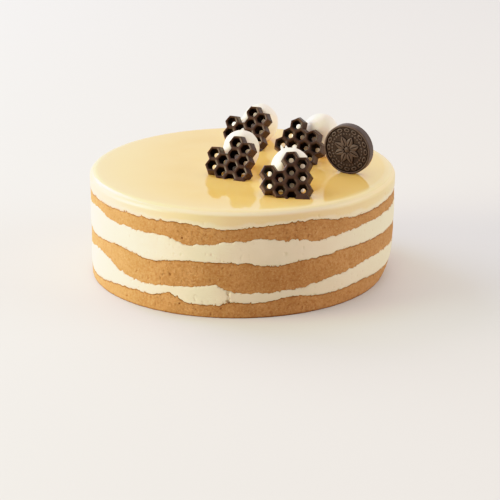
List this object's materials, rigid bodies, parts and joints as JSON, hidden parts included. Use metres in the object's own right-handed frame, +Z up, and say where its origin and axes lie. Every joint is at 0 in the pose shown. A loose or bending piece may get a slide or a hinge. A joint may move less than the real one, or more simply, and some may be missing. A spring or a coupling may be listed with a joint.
{
  "type": "layer cake",
  "caption": "Round layer cake of sponge and cream under a set honey glaze, topped with honeycomb chocolate hearts leaning on balls of cream and a chocolate medallion on its edge.",
  "frame": {"origin": "centre of the cake's flat base", "axes": "+Z up; -Y is the front, the side the chocolate hearts face"},
  "size_m": [0.23, 0.23, 0.1168],
  "materials": {
    "sponge": "matte, fine open crumb",
    "cream": "satin, scraped smooth",
    "honey_glaze": "glossy, poured and set",
    "dark_chocolate": "satin, moulded",
    "whipped_cream": "satin, piped",
    "medallion_chocolate": "dull, moulded relief"
  },
  "bodies": {
    "root": {"sponge_bottom": "sponge", "cream_lower": "cream", "sponge_middle": "sponge", "cream_upper": "cream", "sponge_top": "sponge", "cream_top": "cream", "glaze": "honey_glaze", "heart_front_left": "dark_chocolate", "heart_front_right": "dark_chocolate", "heart_back_left": "dark_chocolate", "heart_back_right": "dark_chocolate", "dollop_front_left": "whipped_cream", "dollop_front_right": "whipped_cream", "dollop_back_left": "whipped_cream", "dollop_back_right": "whipped_cream", "medallion": "medallion_chocolate"}
  },
  "joints": []
}
